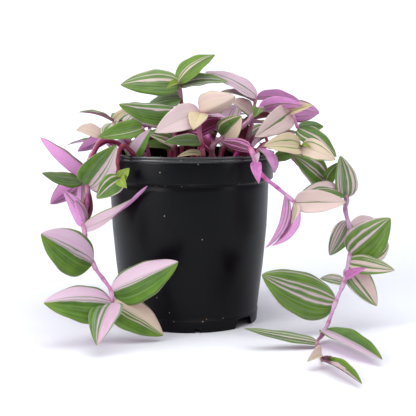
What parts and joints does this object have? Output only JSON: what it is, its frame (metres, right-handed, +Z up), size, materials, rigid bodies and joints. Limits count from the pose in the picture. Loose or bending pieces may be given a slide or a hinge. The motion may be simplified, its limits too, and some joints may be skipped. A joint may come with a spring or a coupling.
{
  "type": "potted tradescantia",
  "caption": "Trailing tradescantia with pink, cream and green striped leaves, growing in a round black nursery pot full of soil.",
  "frame": {"origin": "centre of the pot's base, on the surface that the pot stands on", "axes": "+Z up, -Y towards the viewer of the picture, +X to the viewer's right"},
  "size_m": [0.2704, 0.3176, 0.2053],
  "materials": {
    "pot": "satin black moulded polypropylene",
    "soil": "crumbly peat and bark potting soil with pale grit",
    "leafy_stem": "fleshy leaves, green striped with pink and cream above and lilac below, on dark red to lilac stems"
  },
  "bodies": {
    "root": {"pot": "pot", "soil": "soil", "stem_crown": "leafy_stem", "stem_centre_left": "leafy_stem", "stem_front": "leafy_stem", "stem_left": "leafy_stem", "stem_left_inner": "leafy_stem", "stem_left_low": "leafy_stem", "stem_rim_left": "leafy_stem", "trailing_left_long": "leafy_stem", "trailing_left_high": "leafy_stem", "stem_back_left": "leafy_stem", "stem_right_arching": "leafy_stem", "stem_back_right": "leafy_stem", "stem_right_front": "leafy_stem", "trailing_front_right": "leafy_stem", "trailing_right_long": "leafy_stem", "stem_back_1": "leafy_stem", "stem_back_2": "leafy_stem", "stem_back_3": "leafy_stem", "stem_back_4": "leafy_stem", "stem_back_5": "leafy_stem", "stem_back_6": "leafy_stem", "stem_back_7": "leafy_stem", "stem_back_8": "leafy_stem", "stem_back_9": "leafy_stem", "stem_back_10": "leafy_stem"}
  },
  "joints": []
}
